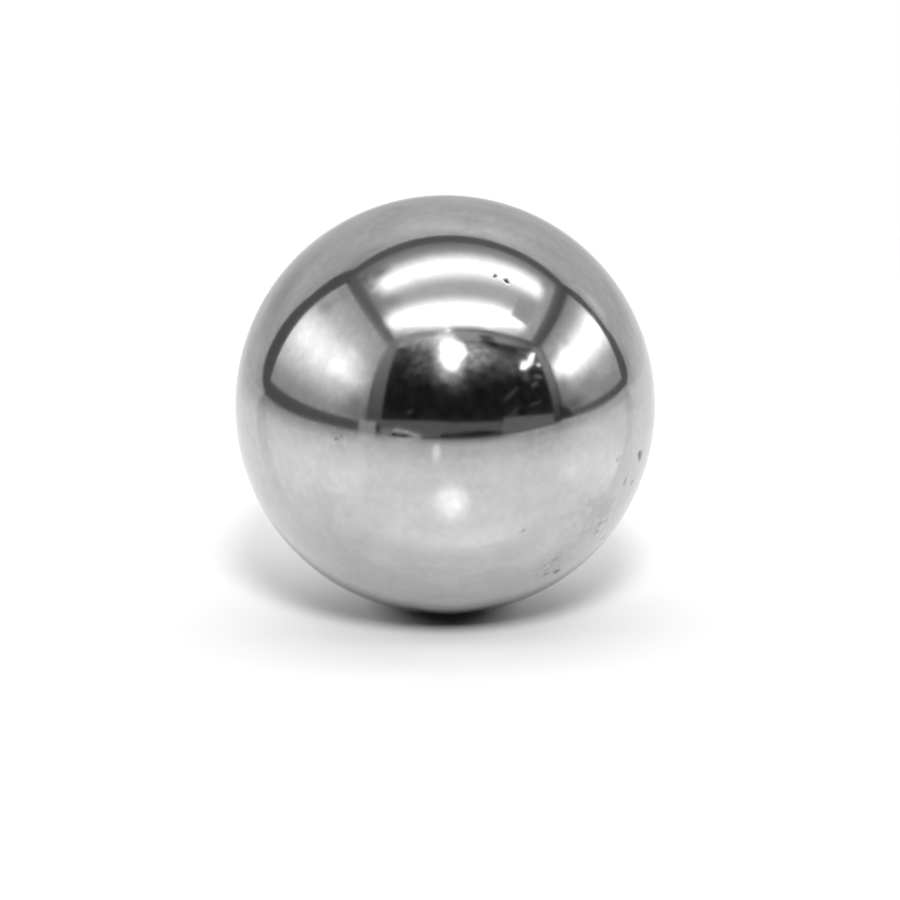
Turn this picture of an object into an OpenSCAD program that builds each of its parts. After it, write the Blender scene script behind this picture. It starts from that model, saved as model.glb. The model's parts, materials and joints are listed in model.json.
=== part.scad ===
// Steel ball: one solid, ground and lapped to a true sphere, with the small
// handling nicks that its polished surface has picked up.
// Millimetres. The origin is the ball's centre, +Z is up and the front is -Y.

/* [Ball] */
// Diameter of the ball, here the standard 1 inch
ball_d = 25.4; // [10:0.1:60]

/* [Nicks] */
// Width of the widest nick, across its rim
nick_w = 0.9; // [0.4:0.05:1.5]
// Depth of the widest nick, below its rim
nick_depth = 0.07; // [0.02:0.01:0.15]

/* [Hidden] */

ball_r = ball_d / 2;

// Sides of the round shapes, where they are shown as meshes
ball_sides = 160;
nick_sides = 40;

// Each nick is [bearing, height, size]: degrees round from the front towards
// +X, degrees above the equator, and a share of the widest nick.
NICKS = [
    // the widest one stands alone, at the right
    [68, -8.5, 1.00],
    // one beside it and a pair under it
    [54, -6.5, 0.40], [60.5, -14.5, 0.60], [66, -16, 0.50],
    // a group of four further down
    [57, -26, 0.45], [54, -26, 0.50], [54.5, -29, 0.50], [63, -33.5, 0.45],
    // low on the right, towards the foot of the ball
    [45, -42.5, 0.80], [39.5, -36, 0.60], [36, -37.5, 0.45], [39.5, -42.5, 0.50],
    // one alone at the right of the front
    [23, -22.5, 0.35],
    // a cluster of three and one more, left of the front
    [-31, 5, 0.30], [-30, 3.5, 0.35], [-28.5, 4.5, 0.30], [-20.5, -3, 0.35],
    // a pair on the upper front
    [21, 50, 0.45], [25, 48, 0.55],
];

// Radius of the round dent that has this width across its rim and this depth.
function dent_r(w, depth) = (pow(w / 2, 2) + pow(depth, 2)) / (2 * depth);

// How far the plane of a rim this wide lies from the ball's centre.
function rim_distance(w) = sqrt(pow(ball_r, 2) - pow(w / 2, 2));

// The round shape that presses one dent into the ball's surface.
module nick(bearing, height, w, depth) {
    rotate([0, 0, bearing - 90])
        rotate([0, -height, 0])
            translate([rim_distance(w) - depth + dent_r(w, depth), 0, 0])
                sphere(r = dent_r(w, depth), $fn = nick_sides);
}

// The ball: a true sphere, less its nicks.
module ball() {
    color("silver")
        difference() {
            sphere(r = ball_r, $fn = ball_sides);
            for (n = NICKS)
                nick(n[0], n[1], nick_w * n[2], nick_depth * n[2]);
        }
}

ball();
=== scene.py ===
# %% [markdown]
# # A polished steel ball
#
# The object is one piece of hardened steel: a true sphere, lapped until it mirrors
# the whole room, with a few small nicks from handling. A mirror has almost no look
# of its own, so this lesson has two halves. The first makes the ball and its steel.
# The second builds the small light tent that the ball stands in, because what the
# steel shows is the tent.

# %% Load the frame
import json
import math

import bmesh
import bpy
from mathutils import Matrix, Vector

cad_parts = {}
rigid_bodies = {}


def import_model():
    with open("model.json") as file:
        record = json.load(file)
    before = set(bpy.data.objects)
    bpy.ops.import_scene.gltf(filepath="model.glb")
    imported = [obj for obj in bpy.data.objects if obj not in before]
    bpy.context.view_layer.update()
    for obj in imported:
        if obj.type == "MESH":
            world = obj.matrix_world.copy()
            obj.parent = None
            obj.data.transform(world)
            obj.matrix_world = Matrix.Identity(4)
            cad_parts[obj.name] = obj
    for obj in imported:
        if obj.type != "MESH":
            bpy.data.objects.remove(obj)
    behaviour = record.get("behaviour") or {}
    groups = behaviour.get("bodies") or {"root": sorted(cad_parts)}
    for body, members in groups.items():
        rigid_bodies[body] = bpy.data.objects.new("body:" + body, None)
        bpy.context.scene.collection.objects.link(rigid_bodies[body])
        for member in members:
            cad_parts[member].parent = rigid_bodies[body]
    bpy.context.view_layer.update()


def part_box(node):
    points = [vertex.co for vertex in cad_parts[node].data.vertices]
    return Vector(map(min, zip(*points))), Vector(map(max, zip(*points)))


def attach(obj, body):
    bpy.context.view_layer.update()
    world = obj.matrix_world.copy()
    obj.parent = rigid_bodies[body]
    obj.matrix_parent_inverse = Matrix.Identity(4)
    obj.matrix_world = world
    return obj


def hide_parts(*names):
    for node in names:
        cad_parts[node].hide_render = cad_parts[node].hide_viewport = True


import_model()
ball_low, ball_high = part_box("ball")
BALL_R = (ball_high.z - ball_low.z) / 2
MM = 0.001
print(f"ball diameter {2 * BALL_R / MM:.2f} mm")

# %% [markdown]
# ## The ball's shape
#
# A sphere could come from a UV sphere, but its slivers crowd at the two poles and a
# mirror shows them as pinches. An icosphere has no poles, but its size can only be
# doubled. Here Geometry Nodes puffs a cube into a ball: a grid cube has even, square
# faces, and moving each grid line to an equal angle keeps them even on the sphere.
# The tree takes the radius and the grid as named inputs.

# %% Geometry Nodes: a cube puffed into a true sphere
GRID = 97  # points along one edge of the cube


def vector_math(tree, operation, value):
    """A Vector Math node that works on one value."""
    node = tree.nodes.new("ShaderNodeVectorMath")
    node.operation = operation
    tree.links.new(value, node.inputs[0])
    return node


def lapped_ball_tree():
    """A node tree that makes a sphere from a grid cube."""
    tree = bpy.data.node_groups.new("lapped_ball", "GeometryNodeTree")
    face = tree.interface
    face.new_socket("Geometry", in_out="INPUT", socket_type="NodeSocketGeometry")
    face.new_socket("Radius", in_out="INPUT", socket_type="NodeSocketFloat")
    face.new_socket("Grid", in_out="INPUT", socket_type="NodeSocketInt")
    face.new_socket("Steel", in_out="INPUT", socket_type="NodeSocketMaterial")
    face.new_socket("Geometry", in_out="OUTPUT", socket_type="NodeSocketGeometry")
    add, link = tree.nodes.new, tree.links.new
    inputs = add("NodeGroupInput")

    cube = add("GeometryNodeMeshCube")
    cube.inputs["Size"].default_value = (2, 2, 2)  # from -1 to 1 each way
    for side in ("Vertices X", "Vertices Y", "Vertices Z"):
        link(inputs.outputs["Grid"], cube.inputs[side])

    # tan(45 degrees * x) spaces the grid lines at equal angles
    angle = vector_math(tree, "MULTIPLY", add("GeometryNodeInputPosition").outputs[0])
    angle.inputs[1].default_value = (math.pi / 4,) * 3
    even = vector_math(tree, "TANGENT", angle.outputs[0])
    outward = vector_math(tree, "NORMALIZE", even.outputs[0])
    on_ball = vector_math(tree, "SCALE", outward.outputs[0])
    link(inputs.outputs["Radius"], on_ball.inputs["Scale"])

    puff = add("GeometryNodeSetPosition")
    link(cube.outputs["Mesh"], puff.inputs["Geometry"])
    link(on_ball.outputs[0], puff.inputs["Position"])
    smooth = add("GeometryNodeSetShadeSmooth")
    link(puff.outputs["Geometry"], smooth.inputs["Geometry"])
    real = add("GeometryNodeRealizeInstances")
    link(smooth.outputs["Geometry"], real.inputs["Geometry"])
    paint = add("GeometryNodeSetMaterial")
    link(real.outputs["Geometry"], paint.inputs["Geometry"])
    link(inputs.outputs["Steel"], paint.inputs["Material"])
    link(paint.outputs["Geometry"], add("NodeGroupOutput").inputs["Geometry"])
    return tree


# %% Run the tree
def set_input(modifier, name, value):
    """Sets a modifier's input by its socket's identifier."""
    for item in modifier.node_group.interface.items_tree:
        if item.item_type == "SOCKET" and item.in_out == "INPUT" and item.name == name:
            modifier[item.identifier] = value


def make_ball_mesh(steel):
    """Runs the tree once and keeps its result as a plain mesh."""
    carrier = bpy.data.objects.new("ball_carrier", bpy.data.meshes.new("empty"))
    bpy.context.scene.collection.objects.link(carrier)
    modifier = carrier.modifiers.new("lapped_ball", "NODES")
    modifier.node_group = lapped_ball_tree()
    set_input(modifier, "Radius", BALL_R)
    set_input(modifier, "Grid", GRID)
    set_input(modifier, "Steel", steel)
    ready = carrier.evaluated_get(bpy.context.evaluated_depsgraph_get())
    mesh = bpy.data.meshes.new_from_object(ready)
    bpy.data.objects.remove(carrier)
    return mesh


# %% [markdown]
# ## The nicks
#
# The real nicks are round-bottomed dents, the widest nearly a millimetre across, with
# a low lip of metal pushed up round each. They could be bump in the material, but a
# dent catches light on its own walls and should stay in the mesh that other programs
# read, so these are pressed into the geometry. The faces round each nick are cut
# finer first, and every new point goes back onto the sphere, so that the mirror stays
# true right up to the lip.

# %% Where the nicks are
NICK_W = 0.9 * MM  # widest nick, across its rim
NICK_DEPTH = 0.07 * MM
LIP = 0.03  # height of the lip, as a share of the depth
LIP_END = 1.5  # where the lip ends, in rim radii from the middle
REACH = 2.5  # how far out a nick can change the steel, in rim radii
FINER = 3  # how often the faces round a nick are halved
MOVED = 1e-7  # a point this far off the sphere, in metres, was moved by a nick

NICKS = [
    # bearing from the front towards +X, height above the equator, size, light lost to dirt
    (68, -8.5, 1.00, 0.55),
    (54, -6.5, 0.40, 0.06),
    (60.5, -14.5, 0.60, 0.18),
    (66, -16, 0.50, 0.15),
    (57, -26, 0.45, 0.20),
    (54, -26, 0.50, 0.16),
    (54.5, -29, 0.50, 0.24),
    (63, -33.5, 0.45, 0.20),
    (45, -42.5, 0.80, 0.40),
    (39.5, -36, 0.60, 0.22),
    (36, -37.5, 0.45, 0.18),
    (39.5, -42.5, 0.50, 0.18),
    (23, -22.5, 0.35, 0.20),
    (-31, 5, 0.30, 0.24),
    (-30, 3.5, 0.35, 0.27),
    (-28.5, 4.5, 0.30, 0.22),
    (-20.5, -3, 0.35, 0.04),
    (21, 50, 0.45, 0.75),
    (25, 48, 0.55, 0.95),
]


def direction(bearing, height):
    """The outward direction at a bearing from the front and a height."""
    b, h = math.radians(bearing), math.radians(height)
    return Vector((math.sin(b) * math.cos(h), -math.cos(b) * math.cos(h), math.sin(h)))


print(f"nicks: {len(NICKS)}, the widest {NICK_W / MM:.1f} mm across")


# %% Cut the faces finer round each nick
def finer_round_nicks(bm, centres, halves):
    """Cuts the faces round each nick finer, and keeps every point on the sphere."""
    for step in range(FINER):
        margin = BALL_R * (math.pi / 2) / GRID / 2**step  # one edge of the faces at this step
        near = [
            edge for edge in bm.edges
            if any(
                min((v.co - c).length for v in edge.verts) < LIP_END * half + margin
                for c, half in zip(centres, halves)
            )
        ]
        bmesh.ops.subdivide_edges(
            bm, edges=near, cuts=1, use_grid_fill=True, quad_corner_type="INNER_VERT"
        )
        for vert in bm.verts:
            vert.co = vert.co.normalized() * BALL_R


# %% Press the nicks
def outline(number, turn):
    """The radius of a nick's uneven rim at an angle, as a share of its mean."""
    start = 2.4 * number  # so that no two rims are alike
    two_lobes, three_lobes = 0.18, 0.1
    return 1 + two_lobes * math.sin(2 * turn + start) + three_lobes * math.sin(3 * turn - start)


def press_nicks(mesh):
    """Presses the nicks into the mesh. Returns how matt and how dirty each point is."""
    bm = bmesh.new()
    bm.from_mesh(mesh)
    centres = [direction(bearing, height) * BALL_R for bearing, height, _, _ in NICKS]
    halves = [NICK_W * size / 2 for _, _, size, _ in NICKS]
    finer_round_nicks(bm, centres, halves)
    bm.verts.index_update()
    matt, held = {}, {}
    for number, (_, _, size, dirt) in enumerate(NICKS):
        centre, half = centres[number], halves[number]
        outward = centre.normalized()
        across = outward.cross(Vector((0, 0, 1))).normalized()
        up = across.cross(outward)
        for vert in bm.verts:
            gap = vert.co - centre
            if gap.length > REACH * half:
                continue
            turn = math.atan2(gap.dot(up), gap.dot(across))
            share = gap.length / (half * outline(number, turn))
            # the depth falls with the cube of the size, so small nicks are very shallow
            if share < 1:
                vert.co -= outward * NICK_DEPTH * size**3 * (1 - share**2) ** 1.5
            elif share < LIP_END:
                lip = math.sin(math.pi * (share - 1) / (LIP_END - 1)) ** 2
                vert.co += outward * NICK_DEPTH * size**3 * LIP * lip
            narrow = 0.85 + 0.8 * dirt  # packed dirt stays deep in the nick
            inside = math.exp(-((narrow * share) ** 3))
            dull = min(1, 0.3 + 4 * dirt)  # a clean nick keeps most of its shine
            matt[vert.index] = max(matt.get(vert.index, 0), inside * dull)
            held[vert.index] = max(held.get(vert.index, 0), dirt * inside)
    bm.to_mesh(mesh)
    bm.free()
    return matt, held


def true_normals(mesh):
    """Outside the nicks every point gets the exact normal of the sphere."""
    normals = []
    for vert in mesh.vertices:
        on_sphere = abs(vert.co.length - BALL_R) < MOVED
        normals.append(vert.co.normalized() if on_sphere else vert.normal.copy())
    mesh.normals_split_custom_set_from_vertices(normals)


# %% [markdown]
# ## The steel
#
# Polished steel is a grey mirror. It sends back a little over half of the light that
# meets it head on, and nearly all at a glancing angle, which the Principled shader
# does by itself from Metallic and a plain grey Base Color. What makes it a used ball
# and not a fresh one is small: cloudy smudges from fingers, a fine haze of polishing
# scratches, and dirt in the nicks. The clouds and the scratches are node groups that
# put out masks. Where fingers touched and where dirt lies are values on the mesh's own
# points, because they follow the shape.

# %% Shader helpers
def new_group(name, inputs, outputs):
    """A shader node group with named sockets. Returns its tree and both end nodes."""
    tree = bpy.data.node_groups.new(name, "ShaderNodeTree")
    for label, kind in inputs:
        tree.interface.new_socket(label, in_out="INPUT", socket_type="NodeSocket" + kind)
    for label, kind in outputs:
        tree.interface.new_socket(label, in_out="OUTPUT", socket_type="NodeSocket" + kind)
    return tree, tree.nodes.new("NodeGroupInput"), tree.nodes.new("NodeGroupOutput")


def plug(tree, value, socket):
    """Links a socket to another, or writes a plain value on it."""
    if isinstance(value, bpy.types.NodeSocket):
        tree.links.new(value, socket)
    else:
        socket.default_value = value


def maths(tree, operation, first, second=0.0):
    """A Math node. Each value is a number or another node's socket."""
    node = tree.nodes.new("ShaderNodeMath")
    node.operation = operation
    plug(tree, first, node.inputs[0])
    plug(tree, second, node.inputs[1])
    return node.outputs[0]


def ramp(tree, value, low, high, to_low, to_high, smooth=True):
    """Maps a value from one range to another, clamped."""
    node = tree.nodes.new("ShaderNodeMapRange")
    node.interpolation_type = "SMOOTHSTEP" if smooth else "LINEAR"
    for label, number in (
        ("Value", value), ("From Min", low), ("From Max", high),
        ("To Min", to_low), ("To Max", to_high),
    ):
        plug(tree, number, node.inputs[label])
    return node.outputs["Result"]


def place_group(tree, group, **values):
    """Puts a node group in a tree and sets its inputs by name."""
    node = tree.nodes.new("ShaderNodeGroup")
    node.node_tree = group
    for label, value in values.items():
        plug(tree, value, node.inputs[label.replace("_", " ")])
    return node


def attribute(tree, name):
    """A value that the mesh holds at each point."""
    node = tree.nodes.new("ShaderNodeAttribute")
    node.attribute_name = name
    return node.outputs["Fac"]


def grey(tree, level):
    """A grey of that level."""
    node = tree.nodes.new("ShaderNodeCombineColor")
    for channel in ("Red", "Green", "Blue"):
        tree.links.new(level, node.inputs[channel])
    return node.outputs["Color"]


def noise(tree, where, scale, detail=2.0, stretch=None):
    """Fractal noise on a position, which may be turned and stretched first."""
    if stretch:
        turn, scales = stretch
        mapping = tree.nodes.new("ShaderNodeMapping")
        plug(tree, where, mapping.inputs["Vector"])
        mapping.inputs["Rotation"].default_value = turn
        mapping.inputs["Scale"].default_value = scales
        where = mapping.outputs[0]
    node = tree.nodes.new("ShaderNodeTexNoise")
    plug(tree, where, node.inputs["Vector"])
    plug(tree, scale, node.inputs["Scale"])
    node.inputs["Detail"].default_value = detail
    return node.outputs[0]


# %% Smudges and scratches
HAIR_TURNS = ((0.3, 0.2, 0.1), (1.2, 0.4, 2.0), (0.5, 1.9, 1.1))  # radians round X, Y, Z
HAIR_STRETCH = (1, 1, 0.03)  # drawn out along one axis, which makes blots into lines
HAIR_BREAKS = 150  # noise scale at which the lines come and go


def cloudy_smudge_group():
    """A soft, blotchy mask, as a wiped film of oil leaves."""
    tree, inputs, outputs = new_group(
        "cloudy_smudge", [("Position", "Vector"), ("Scale", "Float")], [("Mask", "Float")]
    )
    where, scale = inputs.outputs["Position"], inputs.outputs["Scale"]
    broad = noise(tree, where, scale, 2.0)
    fine = noise(tree, where, maths(tree, "MULTIPLY", scale, 4.0), 3.0)
    half_broad, half_fine = maths(tree, "MULTIPLY", broad, 0.5), maths(tree, "MULTIPLY", fine, 0.5)
    both = maths(tree, "ADD", half_broad, half_fine)
    # the middle of the noise, where nearly all of it lies, is drawn out to the full range
    tree.links.new(ramp(tree, both, 0.36, 0.64, 0.0, 1.0), outputs.inputs["Mask"])
    return tree


def hair_scratch_group():
    """Thin lines in three directions, broken up so that they come and go."""
    tree, inputs, outputs = new_group(
        "hair_scratch", [("Position", "Vector"), ("Scale", "Float")], [("Mask", "Float")]
    )
    where, scale = inputs.outputs["Position"], inputs.outputs["Scale"]
    total = 0.0
    for turn in HAIR_TURNS:
        lines = noise(tree, where, scale, 1.0, (turn, HAIR_STRETCH))
        thin = ramp(tree, lines, 0.66, 0.74, 0.0, 1.0)  # only the crests, which are thin
        total = maths(tree, "ADD", total, thin)
    broken = ramp(tree, noise(tree, where, HAIR_BREAKS, 1.0), 0.5, 0.6, 0.0, 1.0)
    tree.links.new(maths(tree, "MULTIPLY", total, broken), outputs.inputs["Mask"])
    return tree


CLOUDY_SMUDGE = cloudy_smudge_group()
HAIR_SCRATCH = hair_scratch_group()
print("shared masks:", CLOUDY_SMUDGE.name, HAIR_SCRATCH.name)

# %% Where fingers left smudges
SMUDGE_PATCHES = [
    # bearing, height, radius in ball radii, strength
    (44, -19, 0.12, 0.8),
    (54, -24, 0.10, 0.8),
    (42, -40, 0.10, 1.0),
    (36, 77, 0.05, 1.0),
    (25, 72, 0.05, 0.8),
    (-73, 77, 0.04, 1.0),
    (-46, 24, 0.02, 1.0),
    (25, 3, 0.08, 0.8),
    (-29, 4, 0.06, 0.8),
    (7, -4, 0.10, 0.4),
    (-35, -14, 0.20, 0.3),
]


def smudge_strength(point):
    """How smudged the steel is at a point on the ball: 0 clean, 1 thumbed."""
    total = 0
    for bearing, height, radius, strength in SMUDGE_PATCHES:
        away = (point.normalized() - direction(bearing, height)).length / radius
        total += strength * math.exp(-away * away)
    return min(total, 1)


# %% The polished steel
STEEL = 0.6  # share of light that the steel sends back head on
CLEAN_LEVEL = 1.05  # the cleanest steel, against that share
SMUDGE_SCALE, HAIR_SCALE = 500.0, 2600.0  # noise scales on a position in metres
THIN_FILM, THUMB_FILM = 0.09, 0.14  # light lost to the film everywhere, and more where thumbed
HAIR_LOSS = 0.03  # light lost to a scratch
MIRROR_ROUGH, FILM_ROUGH = 0.08, 0.105  # roughness of clean steel and of the cloudiest film
NICK_ROUGH, HAIR_ROUGH = 0.4, 0.02  # roughness that a nick and a scratch add


def polished_steel():
    """Mirror-lapped steel with smudges, a haze of scratches and dirty nicks."""
    material = bpy.data.materials.new("polished_steel")
    material.use_nodes = True
    tree = material.node_tree
    shader = tree.nodes["Principled BSDF"]
    shader.inputs["Metallic"].default_value = 1.0
    where = tree.nodes.new("ShaderNodeTexCoord").outputs["Object"]
    cloud = place_group(tree, CLOUDY_SMUDGE, Position=where, Scale=SMUDGE_SCALE).outputs["Mask"]
    hair = place_group(tree, HAIR_SCRATCH, Position=where, Scale=HAIR_SCALE).outputs["Mask"]

    thumbed = maths(tree, "MULTIPLY", attribute(tree, "smudge"), THUMB_FILM)
    film = maths(tree, "ADD", THIN_FILM, thumbed)
    clean = maths(tree, "SUBTRACT", 1.0, attribute(tree, "nick_dirt"))
    level = maths(tree, "SUBTRACT", CLEAN_LEVEL, maths(tree, "MULTIPLY", film, cloud))
    level = maths(tree, "SUBTRACT", level, maths(tree, "MULTIPLY", hair, HAIR_LOSS))
    level = maths(tree, "MULTIPLY", level, maths(tree, "MULTIPLY", clean, STEEL))
    tree.links.new(grey(tree, level), shader.inputs["Base Color"])

    rough = ramp(tree, cloud, 0.0, 1.0, MIRROR_ROUGH, FILM_ROUGH)
    nick_rough = maths(tree, "MULTIPLY", attribute(tree, "nick_matt"), NICK_ROUGH)
    rough = maths(tree, "ADD", rough, nick_rough)
    rough = maths(tree, "ADD", rough, maths(tree, "MULTIPLY", hair, HAIR_ROUGH))
    tree.links.new(rough, shader.inputs["Roughness"])
    return material


# %% Make the ball
def write_attribute(mesh, name, values):
    """Stores one number a point, which the material reads by name."""
    mesh.attributes.new(name, "FLOAT", "POINT").data.foreach_set("value", values)


ball_mesh = make_ball_mesh(polished_steel())
nick_matt, nick_dirt = press_nicks(ball_mesh)
true_normals(ball_mesh)
point_count = len(ball_mesh.vertices)
write_attribute(ball_mesh, "nick_matt", [nick_matt.get(i, 0.0) for i in range(point_count)])
write_attribute(ball_mesh, "nick_dirt", [nick_dirt.get(i, 0.0) for i in range(point_count)])
write_attribute(ball_mesh, "smudge", [smudge_strength(v.co) for v in ball_mesh.vertices])
ball_mesh.name = "steel_ball"
ball = bpy.data.objects.new("steel_ball", ball_mesh)
bpy.context.scene.collection.objects.link(ball)
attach(ball, "root")
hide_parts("ball")
ball_mesh.calc_loop_triangles()
print(f"ball: {point_count} points, {len(ball_mesh.loop_triangles)} triangles")

# %% [markdown]
# ## The light tent
#
# The ball mirrors everything round it, so plain lamps would give it bright dots on
# black. It stands in a light tent instead: a box of white cloth with dark edging,
# lamps behind the cloth and one open side. All sizes here count in ball radii from
# the ball's centre, and the tent is turned a little against the camera. The cloth is
# seen only in the mirror: the camera looks through it, and the floor gets its light
# from soft lamps at the same places.

# %% Tent sizes, in ball radii
TENT_TURN = math.radians(5.5)
LEFT, RIGHT = -20.5, 32.4
FRONT, BACK = -19.7, 12.2
FLOOR, TOP = -1.0, 27.0
NEAR = 0.05  # one layer: how far a strip of tape lies inside its cloth
SIDES = {
    # side: the axis it stands across, where on that axis, and which way is inwards
    "left": ("X", LEFT, 1),
    "right": ("X", RIGHT, -1),
    "front": ("Y", FRONT, 1),
    "back": ("Y", BACK, -1),
    "floor": ("Z", FLOOR, 1),
    "ceiling": ("Z", TOP, -1),
}

tent = bpy.data.objects.new("light_tent", None)
bpy.context.scene.collection.objects.link(tent)
tent.rotation_euler.z = TENT_TURN
tent.scale = (BALL_R,) * 3
tent_mm = [round(size * BALL_R / MM) for size in (RIGHT - LEFT, BACK - FRONT, TOP - FLOOR)]
print("tent in mm, wide, deep and high:", tent_mm)

# %% [markdown]
# ## Glowing cloth
#
# A lamp behind cloth makes a bright patch with no edge. One node group makes a soft
# bar and another a soft oval, and each sheet of cloth adds up as many as it needs.
# A sheet's UV map is its own plane measured in ball radii, so a patch is placed
# where it is on the tent: across and up on a wall, across and back on the ceiling.


# %% Soft bars and ovals
def vector_split(tree, value):
    """The three parts of a vector."""
    node = tree.nodes.new("ShaderNodeSeparateXYZ")
    plug(tree, value, node.inputs[0])
    return node.outputs


def soft_bar_group():
    """A mask that is 1 inside a bar and fades to 0 across its edges."""
    tree, inputs, outputs = new_group(
        "soft_bar",
        [("Position", "Vector"), ("Half Size", "Vector"), ("Softness", "Vector")],
        [("Mask", "Float")],
    )
    away = vector_math(tree, "ABSOLUTE", inputs.outputs["Position"])
    past = vector_math(tree, "SUBTRACT", away.outputs[0])
    tree.links.new(inputs.outputs["Half Size"], past.inputs[1])
    share = vector_math(tree, "DIVIDE", past.outputs[0])
    tree.links.new(inputs.outputs["Softness"], share.inputs[1])
    parts = vector_split(tree, share.outputs[0])
    across = ramp(tree, parts["X"], -0.5, 0.5, 1.0, 0.0)
    up = ramp(tree, parts["Y"], -0.5, 0.5, 1.0, 0.0)
    tree.links.new(maths(tree, "MULTIPLY", across, up), outputs.inputs["Mask"])
    return tree


def soft_oval_group():
    """A mask that is 1 in the core of an oval and fades to 0 at its rim."""
    tree, inputs, outputs = new_group(
        "soft_oval",
        [("Position", "Vector"), ("Half Size", "Vector"), ("Core", "Float")],
        [("Mask", "Float")],
    )
    share = vector_math(tree, "DIVIDE", inputs.outputs["Position"])
    tree.links.new(inputs.outputs["Half Size"], share.inputs[1])
    away = vector_math(tree, "LENGTH", share.outputs[0])
    mask = ramp(tree, away.outputs["Value"], inputs.outputs["Core"], 1.0, 1.0, 0.0)
    tree.links.new(mask, outputs.inputs["Mask"])
    return tree


SOFT_BAR = soft_bar_group()
SOFT_OVAL = soft_oval_group()


def bar(centre, half, soft, amount, tilt=0):
    """A bar of light: its centre, half size, edge softness, added level and tilt."""
    sizes = {"Half_Size": (*half, 1), "Softness": (*soft, 1)}
    return SOFT_BAR, centre, sizes, amount, tilt


def oval(centre, half, amount, core=0.0, tilt=0):
    """An oval of light: its centre, half size, added level, even core and tilt."""
    return SOFT_OVAL, centre, {"Half_Size": (*half, 1), "Core": core}, amount, tilt


# %% Cloth that glows
def patch_light(tree, where, patch):
    """The light that one soft patch adds, at a place on its sheet."""
    group, centre, sizes, amount, tilt = patch
    mapping = tree.nodes.new("ShaderNodeMapping")
    mapping.vector_type = "TEXTURE"
    tree.links.new(where, mapping.inputs["Vector"])
    mapping.inputs["Location"].default_value = (*centre, 0)
    mapping.inputs["Rotation"].default_value[2] = math.radians(tilt)
    mask = place_group(tree, group, Position=mapping.outputs[0], **sizes).outputs["Mask"]
    return maths(tree, "MULTIPLY", mask, amount)


def add_patches(tree, level, where, patches):
    """A level with the light of every patch added to it."""
    for patch in patches:
        level = maths(tree, "ADD", level, patch_light(tree, where, patch))
    return level


def unscattered(tree):
    """1 until a ray has met a matt surface on its way, and 0 from then on."""
    bounces = tree.nodes.new("ShaderNodeLightPath").outputs["Diffuse Depth"]
    return maths(tree, "LESS_THAN", bounces, 0.5)


def glow(name, base, patches=(), cloud=0.0, weave=0.22):
    """A sheet that shines at a base level, with soft patches and a cloudy weave.

    base is a level, or (axis, from, to, level there, level here) for a slow change.
    """
    material = bpy.data.materials.new(name)
    material.use_nodes = True
    material.cycles.emission_sampling = "NONE"
    tree = material.node_tree
    tree.nodes.remove(tree.nodes["Principled BSDF"])
    where = tree.nodes.new("ShaderNodeTexCoord").outputs["UV"]
    level = base
    if isinstance(base, tuple):
        axis, start, end, first, last = base
        level = ramp(tree, vector_split(tree, where)[axis], start, end, first, last, smooth=False)
    level = add_patches(tree, level, where, patches)
    if cloud:
        mask = place_group(tree, CLOUDY_SMUDGE, Position=where, Scale=weave).outputs["Mask"]
        level = maths(tree, "MULTIPLY", level, ramp(tree, mask, 0.0, 1.0, 1 - cloud, 1 + cloud))
    # the ball's mirror must not throw this light back onto the floor round its foot
    level = maths(tree, "MULTIPLY", level, unscattered(tree))
    shine = tree.nodes.new("ShaderNodeEmission")
    plug(tree, maths(tree, "MAXIMUM", level, 0.0), shine.inputs["Strength"])
    tree.links.new(shine.outputs[0], tree.nodes["Material Output"].inputs["Surface"])
    return material


# %% Sheets of the tent
def sheet(name, side, layers, corners, material):
    """A flat sheet, so many layers inside one side of the tent, seen only in the mirror.

    Its corners are in the plane of that side, and the same plane is its UV map.
    """
    axis, outer, inwards = SIDES[side]
    at = outer + inwards * layers * NEAR
    place = {"X": lambda u, v: (at, u, v), "Y": lambda u, v: (u, at, v), "Z": lambda u, v: (u, v, at)}
    mesh = bpy.data.meshes.new(name)
    mesh.from_pydata([place[axis](*corner) for corner in corners], [], [list(range(len(corners)))])
    uvs = mesh.uv_layers.new(name="plane")
    for loop in mesh.loops:
        uvs.data[loop.index].uv = corners[loop.vertex_index]
    mesh.materials.append(material)
    obj = bpy.data.objects.new(name, mesh)
    bpy.context.scene.collection.objects.link(obj)
    obj.parent = tent
    obj.visible_camera = False
    obj.visible_diffuse = False
    obj.visible_shadow = False
    obj.visible_transmission = False
    return obj


def oblong(low, high):
    """The corners of an upright oblong."""
    return [low, (high[0], low[1]), high, (low[0], high[1])]


# %% Ceiling cloth
ceiling_glow = glow("ceiling_glow", 0.52, [
    bar((2.7, -12.3), (19.9, 2.8), (4, 6.5), 2.1),
    oval((3, -14.3), (18, 4.2), 1.6, core=0.5),
    bar((4.8, 2.1), (18.9, 2.35), (4.5, 7.5), 2.1, tilt=2.5),
    oval((-18, -14.6), (2.2, 3), -0.3),
    oval((-16, 1.2), (2.2, 1.8), 0.35),
    oval((-13.5, -4.5), (5, 5), -0.2),
    oval((-15.7, -9.2), (3, 2.6), -0.3),
    oval((14.8, -8.6), (2.6, 2), -0.35),
    oval((-4, -18.2), (6, 1.6), 0.4),
    bar((2, -5), (17, 3), (8, 4), 0.1),
    bar((16, 9), (10, 3), (16, 5), 0.08),
    bar((0, 12.2), (40, 4.2), (1, 5), -0.25),
    bar((-17.5, -1), (1.2, 8.5), (3, 4), -0.2),
    oval((-12.8, 5.3), (3.6, 2.8), -0.5),
    oval((-15, 8), (4.5, 3), -0.12),
    oval((23.5, 6), (3, 2.5), -0.3),
    bar((-9.5, -17.6), (4, 0.7), (4, 1), 0.35),
    oval((-1.4, -17.9), (2.2, 1.0), 0.6),
    oval((-17, 7), (2, 3), -0.1),
    bar((15, -17.7), (6, 0.7), (4, 1), 0.6),
])
sheet("ceiling_cloth", "ceiling", 0, oblong((LEFT, FRONT), (RIGHT, BACK)), ceiling_glow)

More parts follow.
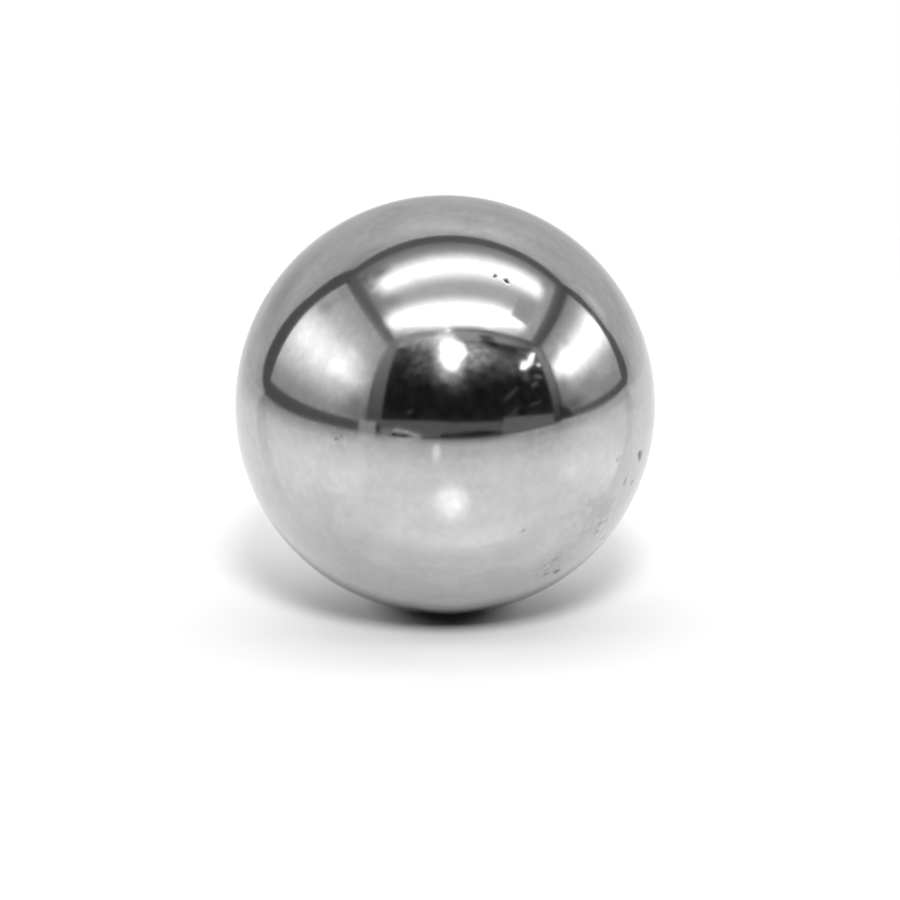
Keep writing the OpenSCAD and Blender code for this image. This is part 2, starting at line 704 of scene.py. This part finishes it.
# %% Side cloths
left_glow = glow("left_glow", ("Y", 0, 22, 0.4, 0.52), [
    bar((1.0, 9.2), (14.5, 3.3), (13, 8), 1.02),
    bar((-1, 14), (13, 3.5), (14, 15), 0.45),
    oval((-6.5, 9.3), (4, 2.2), 0.5, tilt=-36),
    bar((-20, 3), (3.4, 3), (8, 9), -0.34),
    oval((-13, 5.8), (5, 4.5), -0.24),
    oval((7, 22), (6, 4), -0.12),
    oval((6.8, 16.6), (4.2, 5), -0.28),
    oval((8.8, 8), (3, 4), -0.3),
    oval((-9.3, 13.5), (4.2, 4), 0.22),
    oval((-8, 6.8), (4.5, 2.5), -0.25),
    oval((-12.5, 2), (6, 2.2), -0.12),
    oval((-14.5, 5), (3, 4), -0.08),
    oval((-16.8, 8.2), (2, 2.5), -0.1),
], cloud=0.05)
sheet("left_cloth", "left", 0, oblong((FRONT, FLOOR), (BACK, TOP)), left_glow)
right_glow = glow("right_glow", ("Y", 0, 22, 0.4, 0.5), [
    bar((3, 13.7), (15, 3.4), (6, 9), 2.1),
    bar((-13.5, 14.4), (4.2, 2.3), (4, 6), 1.6, tilt=-6),
    bar((0, 20), (20, 1), (6, 6), 0.1),
    bar((0, 26), (40, 1), (1, 8), -0.3),
    bar((12, 5), (3, 5), (10, 8), 0.06),
    oval((3.5, 6), (8.5, 2.6), 0.2),
    oval((-9.5, 8.8), (3, 2), -0.2),
    oval((-6.5, 18.3), (2.5, 2), -0.3),
    bar((-19, 3), (4, 5), (12, 12), -0.3),
    oval((-11.5, 2.8), (7, 3.5), -0.18),
    oval((9, 2.2), (3.5, 2.5), -0.06),
], cloud=0.04)
sheet("right_cloth", "right", 0, oblong((FRONT, FLOOR), (BACK, TOP)), right_glow)

# %% Back cloth, and a flap under the ceiling
FLAP_LAYER = 0.4  # between the cloth and its tape
back_glow = glow("back_glow", 0.56, [
    bar((4, 17), (7, 3), (12, 7), 0.2),
    bar((6, -1), (12, 1.5), (16, 4), 0.2),
    oval((21.5, 10.5), (4, 5), 0.18),
    bar((-16, 12), (2, 30), (12, 1), -0.1),
    oval((-13.5, 20), (3.5, 4), -0.1),
    oval((-1, 13.5), (4, 5), 0.1),
    oval((4, 10.5), (8, 4), 0.06),
    oval((22.5, 10.5), (3, 3), 0.1),
    oval((-8, 3.5), (6, 4), -0.12),
    oval((-9.5, 19), (4, 4), -0.1),
    oval((22.5, 1.5), (4, 4), -0.15),
    oval((21.5, 19), (4, 3), -0.1),
], cloud=0.04)
sheet("back_cloth", "back", 0, oblong((LEFT, FLOOR), (RIGHT, TOP)), back_glow)
flap = [(17.1, -4), (16.4, -11.2), (23.5, -13.0), (23.5, -4)]
sheet("ceiling_flap", "ceiling", FLAP_LAYER, flap, glow("flap_glow", 0.47))
print(f"sheets in the tent: {len(tent.children)}")

# %% [markdown]
# ## Dark edging
#
# Dark tape binds every edge of the cloth, and in the mirror it draws the outline of
# the tent. It is the strongest pattern on the ball, so its width matters: about two
# ball radii. Each strip lies just inside its cloth.

# %% Edging strips
BACK_LEFT_TAPE = [(LEFT, -0.95), (-18.6, -0.5), (-17.2, 0.0), (-16.0, 1.0), (-15.6, 2.0), (-15.6, 5),
    (-16.0, 9), (-16.6, 12), (-16.1, 14.5), (-15.2, 17.5), (-14.9, TOP), (LEFT, TOP)]
BACK_RIGHT_TAPE = [
    (RIGHT, -0.6), (RIGHT, TOP), (25.2, TOP), (25.2, 17), (26.7, 14),
    (27.0, 9), (25.2, 6), (24.5, 3), (24.4, 1.2), (25.4, 0.2), (29.0, -0.5),
]
RIGHT_BACK_TAPE = [(11.0, 1.25), (BACK, 1.25), (BACK, TOP), (11.7, TOP), (11.7, 8)]
BACK_TOP_TAPE = [
    (LEFT, 22.5), (10, 22.6), (17, 22.0), (25, 21.6), (RIGHT, 21.6), (RIGHT, TOP), (LEFT, TOP),
]
LEFT_FRONT_TAPE = [(FRONT, FLOOR), (-18.3, FLOOR), (-18.3, 18.5), (-19.0, 24.9), (FRONT, 24.9)]
# each level is how bright the strip glows, painted light for the lit tape; a ramp makes one end lighter
EDGING = [
    # name, side, corners, level
    ("edge_left_floor", "left", oblong((FRONT, FLOOR), (BACK, 1.0)), 0.1),
    ("edge_left_top", "left", oblong((FRONT, 24.9), (BACK, TOP)), ("X", -18, 11, 0.28, 0.12)),
    ("edge_left_back", "left", oblong((10.5, FLOOR), (BACK, TOP)), 0.1),
    ("edge_left_front", "left", LEFT_FRONT_TAPE, ("Y", 8, 24, 0.09, 0.4)),
    ("edge_right_floor", "right", oblong((FRONT, -0.5), (BACK, 1.25)), 0.11),
    ("sheet_edge_right", "right", oblong((FRONT, FLOOR), (BACK, -0.5)), 0.5),
    ("edge_right_top", "right", oblong((FRONT, 25.2), (BACK, TOP)), 0.11),
    ("edge_right_back", "right", RIGHT_BACK_TAPE, 0.11),
    ("edge_right_front", "right", oblong((FRONT, FLOOR), (-18.0, 24.9)), ("Y", 2, 17, 0.04, 0.22)),
    ("edge_top_left", "ceiling", oblong((LEFT, FRONT), (-18.0, BACK)), ("X", -20.5, -18.3, 0.14, 0.18)),
    ("edge_top_right", "ceiling", oblong((28.1, FRONT), (RIGHT, BACK)), ("X", 28.1, 32.4, 0.2, 0.09)),
    ("edge_top_back", "ceiling", oblong((LEFT, 10.9), (RIGHT, BACK)), 0.13),
    ("edge_back_left", "back", BACK_LEFT_TAPE, 0.1),
    ("edge_back_right", "back", BACK_RIGHT_TAPE, 0.11),
    ("edge_back_top", "back", BACK_TOP_TAPE, ("X", 18, 29, 0.12, 0.07)),
]
for name, side, corners, level in EDGING:
    sheet(name, side, 1, corners, glow(name, level))
# painted light: the tape glows lighter on the left, and the two ovals are the lamp's painted glare on
# it
front_tape_and_glare = glow("front_tape_and_glare", ("X", -3, 2, 0.3, 0.07), [
    oval((-1, -19.3), (1.2, 1.8), 1.9),
    oval((-2.5, -19.2), (4.5, 2), 0.4),
])
sheet("edge_top_front", "ceiling", 1, oblong((LEFT, FRONT), (RIGHT, -18.8)), front_tape_and_glare)
print(f"sheets in the tent, with its edging: {len(tent.children)}")

# %% [markdown]
# ## The open front
#
# One side of the tent is open to a dark room, and the mirror shows it as a black
# window in the middle of the ball. In the window are the lamp that lights the ball
# from the front, with its glare, a strip of daylight, and the sill of the tent.

# %% The dark room and its lamp
room_glow = glow("room_glow", 0.014, [
    bar((-1.1, 18.4), (1.5, 4.3), (1.6, 3.6), 2.4),
    oval((1.0, 18.4), (3.0, 4.5), 2.8, core=0.2),
    oval((-0.1, 14.9), (2.0, 3.4), 1.8, core=0.1),
    oval((2.7, 14.2), (2.2, 2.4), 0.25),
    oval((1, 8.3), (3, 2.2), 0.03),
    oval((-0.3, 12), (3, 4.5), 0.2),
    oval((4.6, 13.9), (2.2, 2.6), 0.13),
    oval((-3.4, 10.7), (2.3, 2.6), 0.13),
    oval((-0.1, 11.4), (5, 6), 0.075),
    oval((2.5, 18.5), (5, 6), 0.12, core=0.3),
    oval((-1.0, 18.5), (4.8, 10), 0.9, core=0.3),
    oval((-3.8, 22.8), (3, 3.6), 0.45),
    oval((6.3, 18.3), (7.2, 6), 0.24, core=0.1),
    oval((-7, 17), (6, 9), 0.05),
    oval((-7, 24), (10, 6), 0.4),
    oval((-7, 20.2), (4, 3), 0.13),
    oval((-16, 19), (4, 3.5), 0.09),
    oval((-13, 14.6), (3, 3), -0.02),
    oval((13.3, 14.5), (3, 5), 0.085),
    oval((21.5, 20), (4, 3), 0.15),
    oval((18.2, 12.4), (3.2, 2.6), 0.1),
    oval((4, 18), (20, 10), 0.15),
    bar((-4, 18), (14, 5), (12, 12), 0.03),
    oval((17.5, 16.8), (6, 4.5), 0.09),
    bar((9.6, 21.5), (2.4, 1.8), (2, 2), -0.12),
    oval((15, 19.5), (6, 4), -0.04),
], cloud=0.6, weave=0.5)
sheet("dark_room", "front", 0, oblong((LEFT, FLOOR), (RIGHT, TOP)), room_glow)
DAYLIGHT = [
    # name, corners, level
    ("daylight_low",
        [(16.8, 13.7), (19.0, 14.0), (21.3, 15.4), (23.9, 16.9), (21.3, 17.3), (18.6, 16.5)], 2.35),
    ("daylight_high",
        [(21.4, 17.2), (23.7, 17.4), (26.4, 20.4), (27.8, 21.8), (25.7, 21.4), (24.0, 20.2)], 2.6),
    ("daylight_dot", [(25.2, 16.4), (26.9, 16.6), (27.5, 17.3), (26.0, 17.1)], 4.0),
    ("room_streak_1", [(10.2, 5.5), (14.3, 8.3), (14.3, 8.9), (10.2, 6.1)], 0.11),
    ("room_streak_2", [(11.3, 2.4), (13.4, 3.7), (13.4, 4.3), (11.3, 3.0)], 0.1),
    ("room_streak_3", [(19.5, 8.8), (22.6, 10.1), (22.6, 11.0), (19.5, 9.7)], 0.15),
    ("room_streak_4", [(21.8, 11.9), (25.8, 12.2), (25.8, 12.9), (21.8, 12.7)], 0.25),
    ("room_streak_5", [(17.4, 4.2), (22.4, 5.2), (22.4, 5.7), (17.4, 4.7)], 0.09),
    ("room_speck", [(-9.3, 3.4), (-8.5, 3.4), (-8.5, 4.1), (-9.3, 4.1)], 0.09),
]


def stack(rows, first, step):
    """Hangs sheets in the open front, each a little further in than the one before."""
    for count, (name, corners, level) in enumerate(rows):
        sheet(name, "front", first + step * count, corners, glow(name, level))


stack(DAYLIGHT, 0.2, 0.05)
print(f"sheets in the tent, with the dark room: {len(tent.children)}")

# %% The frame of the opening
# each level is how bright the sheet glows: painted light for the lit frame and sill, and painted shade
# in sill_shade and tape_end_shade
FRAME = [
    # name, corners, level
    ("frame_left", oblong((LEFT, FLOOR), (-16.2, TOP)), ("Y", 2, 22, 0.09, 0.27)),
    ("frame_right", oblong((27.9, FLOOR), (RIGHT, TOP)), ("Y", 2, 17, 0.06, 0.33)),
    ("sill", [(LEFT, FLOOR), (9, FLOOR), (9, 1.6), (0, 1.75), (-5, 2.1), (LEFT, 2.0)], 0.13),
    ("sill_right", [(8.6, -0.8), (RIGHT, -0.5), (RIGHT, 1.8), (9.5, 2.3)], 0.17),
    ("sill_shade", [(-3, FLOOR), (9.5, FLOOR), (8.5, -0.3), (5, 0.15), (2, 0.0), (-2.5, -0.35)], 0.01),
    ("cloth_corner", oblong((LEFT, FLOOR), (-18, 1.4)), 0.36),
    ("corner_gap", oblong((-18, FLOOR), (-16.4, 0.7)), 0.02),
    ("tape_end", [(-16.2, FLOOR), (-6.2, FLOOR), (-6.6, -0.4), (-12, 0.15), (-16.2, 0.0)], 0.24),
    ("tape_end_light",
        [(-12.8, -0.3), (-9.8, -0.45), (-6.8, FLOOR), (-5.6, FLOOR), (-9.2, 0.0), (-12.1, 0.3)], 0.66),
    ("tape_end_shade", [(-13, FLOOR), (-7.9, FLOOR), (-9.3, -0.6), (-12.8, -0.55)], 0.0),
    ("right_corner", oblong((27.6, -0.5), (RIGHT, 1.6)), 0.04),
]
stack(FRAME, 1, 0.1)
# painted light: the frame top glows lighter on the left, and the ovals near the lamp are its painted
# glare
frame_top_and_glare = glow("frame_top_and_glare", ("X", 15, 31, 0.36, 0.1), [
    oval((-1.4, 23.6), (3.4, 3.6), 1.0, core=0.2),
    oval((-4.3, 23.8), (2.5, 2.4), 0.35),
    oval((-7.5, 24), (6.5, 2.6), 0.3),
    oval((5, 24), (3, 2.2), 0.15),
    bar((9.8, 24), (2.0, 2.4), (2.5, 1), -0.26),
    oval((-18, 23), (3, 4), -0.15),
], cloud=0.3, weave=0.4)
sheet("frame_top_and_glare", "front", 1, oblong((LEFT, 22.4), (RIGHT, TOP)), frame_top_and_glare)
# painted light: the tape's face glows lighter on the left, and the ovals near the lamp are its painted
# glare
tape_face_and_glare = glow("tape_face_and_glare", ("X", -8, 30, 0.42, 0.1), [
    oval((-1.9, 25.4), (3.7, 2.6), 0.7),
    oval((5, 26), (8, 4), 0.14),
    oval((-18, 26), (4, 3), -0.2),
])
sheet("edge_top_face", "front", 1.2, oblong((LEFT, 25.3), (RIGHT, TOP)), tape_face_and_glare)

# %% Where the frame meets the walls and the floor
# painted shade: a dark sheet on the floor at the foot of the sill
SILL_FOOT_SHADE = [(-6.2, FRONT), (8, FRONT), (6, -18.5), (1.5, -15.8), (-3, -15.0), (-6.2, -16.2)]
CORNERS = [
    # name, side, layers in, corners, level
    ("cloth_corner_side", "left", 2, oblong((FRONT, FLOOR), (-15.9, 1.4)), 0.36),
    ("right_corner_side", "right", 2,
        [(FRONT, -0.5), (-13.4, -0.5), (-15.5, 2.4), (FRONT, 4.2)], 0.035),
    ("sill_foot_shade", "floor", 1, SILL_FOOT_SHADE, 0.05),
    ("tape_shadow", "floor", 1, [(-12.8, FRONT), (-9.4, -13.6), (-7.6, -15.6), (-8.0, FRONT)], 0.0),
]
for name, side, layers, corners, level in CORNERS:
    sheet(name, side, layers, corners, glow(name, level))
print(f"sheets in the tent, with its frame: {len(tent.children)}")

# %% [markdown]
# ## Floor, lamps and background
#
# The floor is a white sheet with a slight gloss. Seen by the camera it is plain white
# paper that keeps the ball's shadow, and far from the ball it turns to pure white, so
# that no horizon shows from any side. Seen in the ball it has its gloss too, with
# painted shade that darkens it towards the dark front and the back, and painted light:
# a soft painted reflection of the lamp, a painted glint and lighter pools.


# %% Painted light and painted shade on the sheet
SHEET_PAINTED_LIGHT = [
    # painted light on the sheet as the mirror sees it: a painted glint, a painted reflection of the
    # lamp, lighter pools, and a lighter spot in the shadow at the foot
    oval((-1.19, -6.9), (0.3, 3.8), 0.42, core=0.4, tilt=-9.7),
    oval((-0.1, -1.55), (1.4, 0.9), 0.11, core=0.2),
    oval((-0.1, -2.06), (0.38, 0.66), 0.45, core=0.2),
    oval((26, -4), (20, 20), 0.16),
    oval((14, -2), (10, 8), 0.2),
    oval((7, -1), (5, 4), 0.06),
    oval((1.2, -0.8), (0.9, 0.8), 0.06),
    oval((12, 5), (7, 6), 0.1),
    oval((8, -4.5), (5, 4), 0.07),
    oval((6, -10.6), (4, 3), 0.09),
    oval((6.4, 2), (3, 2.4), 0.08),
    oval((20, -17), (11, 5), 0.14),
    oval((21, -18.4), (12, 3.6), 0.14, core=0.4),
    oval((10, -13.5), (5, 4), 0.16),
    oval((0, -0.38), (0.24, 0.18), 0.08, core=0.2),
    oval((16, -14.5), (13, 6), 0.22, core=0.2),
    oval((-18, -3), (7, 8), 0.09),
]
SHEET_PAINTED_SHADE_AND_LIGHT = [
    # painted shade darkens the sheet's colour in the mirror, and the last oval is painted light
    oval((-5, 8), (9, 5), -0.14),
    oval((-10, 7), (8, 6), -0.2),
    oval((-0.6, -6.3), (4.5, 3.8), -0.13),
    oval((2.4, -1.3), (1.3, 0.9), -0.09),
    oval((0, -19), (14, 4.5), -0.2),
    oval((20, -17), (11, 5), 0.2),
]


# %% The sheet as the mirror sees it
SATIN = 0.12  # roughness of the sheet's gloss
# painted shade: the sheet's colour darkens towards the dark front and the back
SHADE_TO_FRONT = (-19.5, -8.0, 0.39, 0.875)  # from, to, level there and level here
SHADE_TO_BACK = (4.0, 12.0, 1.0, 0.86)


def satin_sheet(tree, where):
    """Satin white with painted shade, darker towards the open front and the back, and painted light."""
    satin = tree.nodes["Principled BSDF"]
    satin.inputs["Roughness"].default_value = SATIN
    depth = vector_split(tree, where)["Y"]
    shade_to_front = ramp(tree, depth, *SHADE_TO_FRONT, smooth=False)
    shade_to_back = ramp(tree, depth, *SHADE_TO_BACK, smooth=False)
    tone_with_painted_shade = add_patches(tree, maths(tree, "MULTIPLY", shade_to_front, shade_to_back), where, SHEET_PAINTED_SHADE_AND_LIGHT)
    tree.links.new(grey(tree, tone_with_painted_shade), satin.inputs["Base Color"])
    satin.inputs["Emission Color"].default_value = (1, 1, 1, 1)
    light = add_patches(tree, 0.0, where, SHEET_PAINTED_LIGHT)
    tree.links.new(light, satin.inputs["Emission Strength"])
    return satin.outputs[0]


# %% The sheet as the camera sees it
PAPER_GLOW = 0.006  # a trace of light of the paper's own, so that no shadow is quite black
PURE_WHITE = (4.0, 9.0)  # where the paper turns to pure white, in ball radii from the ball


def mix(tree, share, first, second):
    """A shader that goes from the first to the second as the share rises. None is black."""
    node = tree.nodes.new("ShaderNodeMixShader")
    for value, socket in zip((share, first, second), node.inputs):
        if value is not None:
            tree.links.new(value, socket)
    return node.outputs[0]


def paper_sheet(tree, where):
    """Plain white paper that keeps the ball's shadow, and pure white far from the ball."""
    paper = tree.nodes.new("ShaderNodeBsdfDiffuse")
    paper.inputs["Color"].default_value = (1, 1, 1, 1)
    shine = tree.nodes.new("ShaderNodeEmission")
    shine.inputs["Strength"].default_value = PAPER_GLOW
    soft_paper = tree.nodes.new("ShaderNodeAddShader")
    tree.links.new(paper.outputs[0], soft_paper.inputs[0])
    tree.links.new(shine.outputs[0], soft_paper.inputs[1])
    white = tree.nodes.new("ShaderNodeEmission")
    away = vector_math(tree, "LENGTH", where).outputs["Value"]
    far = ramp(tree, away, *PURE_WHITE, 0.0, 1.0)
    return mix(tree, far, soft_paper.outputs[0], white.outputs[0])


def white_sheet():
    """White sheet: satin in the mirror, shadow-keeping paper to the camera."""
    material = bpy.data.materials.new("white_sheet")
    material.use_nodes = True
    tree = material.node_tree
    place = tree.nodes.new("ShaderNodeTexCoord").outputs
    # matt surfaces see the sheet as black, so it throws no light back into the shadow
    mirrored = mix(tree, unscattered(tree), None, satin_sheet(tree, place["UV"]))
    by_camera = tree.nodes.new("ShaderNodeLightPath").outputs["Is Camera Ray"]
    seen = mix(tree, by_camera, mirrored, paper_sheet(tree, place["Object"]))
    tree.links.new(seen, tree.nodes["Material Output"].inputs["Surface"])
    return material


# %% Lay the sheet
SHEET_HALF = 160  # half the side of the sheet
sheet_corners = oblong((-SHEET_HALF, -SHEET_HALF), (SHEET_HALF, SHEET_HALF))
floor = sheet("white_sheet", "floor", 0, sheet_corners, white_sheet())
floor.visible_camera = True
floor.visible_diffuse = True
floor.visible_shadow = True
print(f"floor sheet: {2 * SHEET_HALF * BALL_R:.1f} m each way")


# %% Lamps
def soft_lamp(name, centre, facing, width, height, level):
    """An area lamp of that size and brightness, seen by neither camera nor mirror."""
    data = bpy.data.lights.new(name, "AREA")
    data.shape = "RECTANGLE"
    data.size, data.size_y = width * BALL_R, height * BALL_R
    data.energy = level * math.pi * data.size * data.size_y
    obj = bpy.data.objects.new(name, data)
    bpy.context.scene.collection.objects.link(obj)
    turn = Matrix.Rotation(TENT_TURN, 3, "Z")
    obj.location = turn @ Vector(centre) * BALL_R
    obj.rotation_euler = (turn @ Vector(facing)).to_track_quat("-Z", "Y").to_euler()
    obj.visible_camera = False
    obj.visible_glossy = False
    return obj


LAMPS = [
    # name, centre, way it faces, width, height, level
    ("lamp_ceiling_front", (1.5, -13.4, TOP), (0, 0, -1), 34.6, 7.4, 1.4),
    ("lamp_ceiling_back", (4, 1.3, TOP), (0, 0, -1), 36, 4.9, 1.32),
    ("lamp_right", (RIGHT, -1.3, 19), (-1, 0, 0), 31.2, 16, 3.6),
    ("lamp_left", (LEFT, 0.4, 11.9), (1, 0, 0), 22.9, 11.4, 3.2),
    ("lamp_back", (5.4, BACK, 11.4), (0, -1, 0), 42.5, 22.6, 1.41),
    ("lamp_flash", (-0.6, FRONT, 17.4), (0, 1, 0), 5.4, 10.5, 35),
]
for lamp in LAMPS:
    soft_lamp(*lamp)
print(f"lamps: {len(LAMPS)}")

# %% World
world = bpy.data.worlds.new("white_room")
bpy.context.scene.world = world
world.use_nodes = True
tree = world.node_tree
unlit = tree.nodes["Background"]
unlit.inputs["Strength"].default_value = 0.0
white = tree.nodes.new("ShaderNodeBackground")
white.inputs["Color"].default_value = (1, 1, 1, 1)
white.inputs["Strength"].default_value = 1.0
path = tree.nodes.new("ShaderNodeLightPath").outputs
seen = maths(tree, "MAXIMUM", path["Is Camera Ray"], path["Is Glossy Ray"])
seen = maths(tree, "MAXIMUM", seen, path["Is Transmission Ray"])
shown = mix(tree, seen, unlit.outputs[0], white.outputs[0])
tree.links.new(shown, tree.nodes["World Output"].inputs["Surface"])
bpy.context.scene.view_settings.view_transform = "Standard"

# %% [markdown]
# ## Camera
#
# A camera close by would see less than half of the ball and stretch what it mirrors
# towards the rim. A long lens from well back shows nearly the whole front half. The
# camera looks down a little at the middle of the ball, and a small shift of the lens
# puts the ball in its place in the frame.

# %% Camera
ELEVATION = math.radians(14.2)
DISTANCE = 23.93 * BALL_R
camera_data = bpy.data.cameras.new("camera")
camera_data.sensor_width = 36
camera_data.lens = 200.8
camera_data.shift_x = 0.0054
camera_data.shift_y = -0.0499
camera_data.clip_start, camera_data.clip_end = 0.01, 10
camera = bpy.data.objects.new("camera", camera_data)
bpy.context.scene.collection.objects.link(camera)
back = Vector((0, -math.cos(ELEVATION), math.sin(ELEVATION)))
camera.location = back * DISTANCE
camera.rotation_euler = (-back).to_track_quat("-Z", "Y").to_euler()
bpy.context.scene.camera = camera
print(f"camera: {DISTANCE / MM:.0f} mm away")
